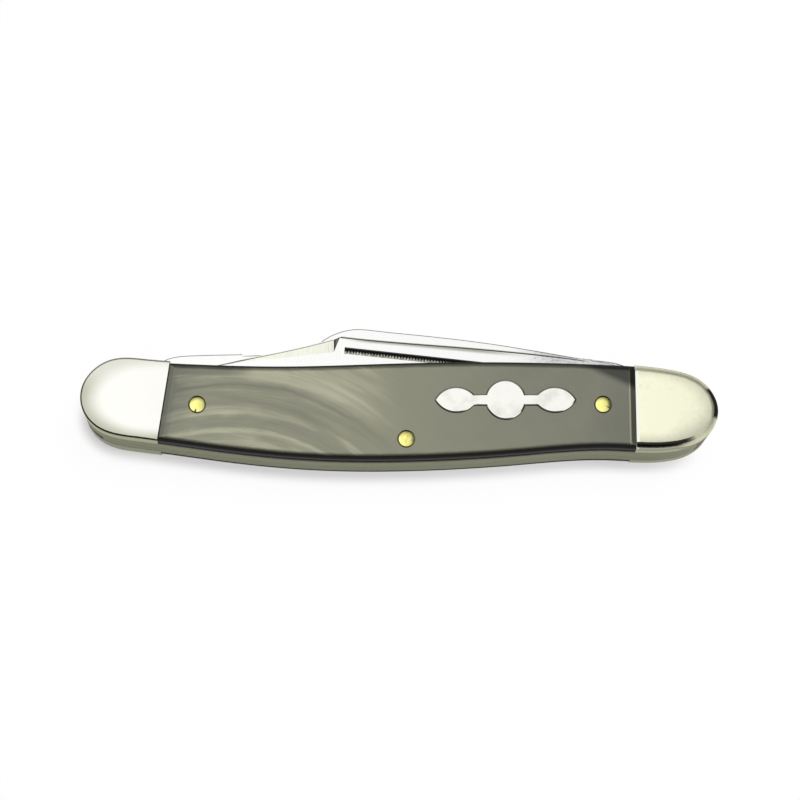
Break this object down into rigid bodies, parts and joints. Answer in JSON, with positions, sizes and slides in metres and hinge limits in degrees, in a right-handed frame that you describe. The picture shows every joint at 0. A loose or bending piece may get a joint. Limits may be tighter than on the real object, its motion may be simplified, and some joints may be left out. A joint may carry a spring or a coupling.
{
  "type": "folding pocket knife",
  "caption": "Closed slip-joint pocket knife with a serpentine handle, pearl scales, bright bolsters and clip, sheepsfoot and spey blades that fold into it.",
  "frame": {"origin": "on the flat back face that the knife lies on, at the middle of the handle's length", "axes": "+X along the handle to the end where two blades pivot, +Y to the side where the blades come out, +Z from the back face to the front face"},
  "size_m": [0.0984, 0.0222, 0.013],
  "materials": {
    "nickel_silver": "polished nickel silver with a faint haze",
    "liner_nickel_silver": "satin nickel silver edges",
    "pearl_acrylic": "polished smoke-grey pearl acrylic",
    "pin_brass": "peened and polished brass",
    "spring_steel": "ground and polished spring steel",
    "blade_steel": "polished blade steel with fine grinding lines"
  },
  "bodies": {
    "handle": {"front_left_bolster": "nickel_silver", "front_right_bolster": "nickel_silver", "back_left_bolster": "nickel_silver", "back_right_bolster": "nickel_silver", "shield": "nickel_silver", "shield_pins": "nickel_silver", "left_pivot_pin": "nickel_silver", "right_pivot_pin": "nickel_silver", "front_liner": "liner_nickel_silver", "back_liner": "liner_nickel_silver", "centre_liner": "liner_nickel_silver", "front_scale": "pearl_acrylic", "back_scale": "pearl_acrylic", "centre_pin": "pin_brass", "front_left_scale_pin": "pin_brass", "front_right_scale_pin": "pin_brass", "back_left_scale_pin": "pin_brass", "back_right_scale_pin": "pin_brass", "front_spring": "spring_steel", "rear_spring": "spring_steel"},
    "clip": {"clip_blade": "blade_steel"},
    "sheepsfoot": {"sheepsfoot_blade": "blade_steel"},
    "spey": {"spey_blade": "blade_steel"}
  },
  "joints": [
    {"name": "clip_open", "type": "hinge", "parent": "handle", "child": "clip", "pos_m": [0.042, 0.00031, 0], "axis": [0, 0, -1], "range_deg": [0, 180], "deforming": ["front_spring"]},
    {"name": "sheepsfoot_open", "type": "hinge", "parent": "handle", "child": "sheepsfoot", "pos_m": [0.042, 0.00031, 0], "axis": [0, 0, -1], "range_deg": [0, 180], "deforming": ["rear_spring"]},
    {"name": "spey_open", "type": "hinge", "parent": "handle", "child": "spey", "pos_m": [-0.042, 0.00213, 0], "axis": [0, 0, 1], "range_deg": [0, 180], "deforming": ["rear_spring"]}
  ]
}
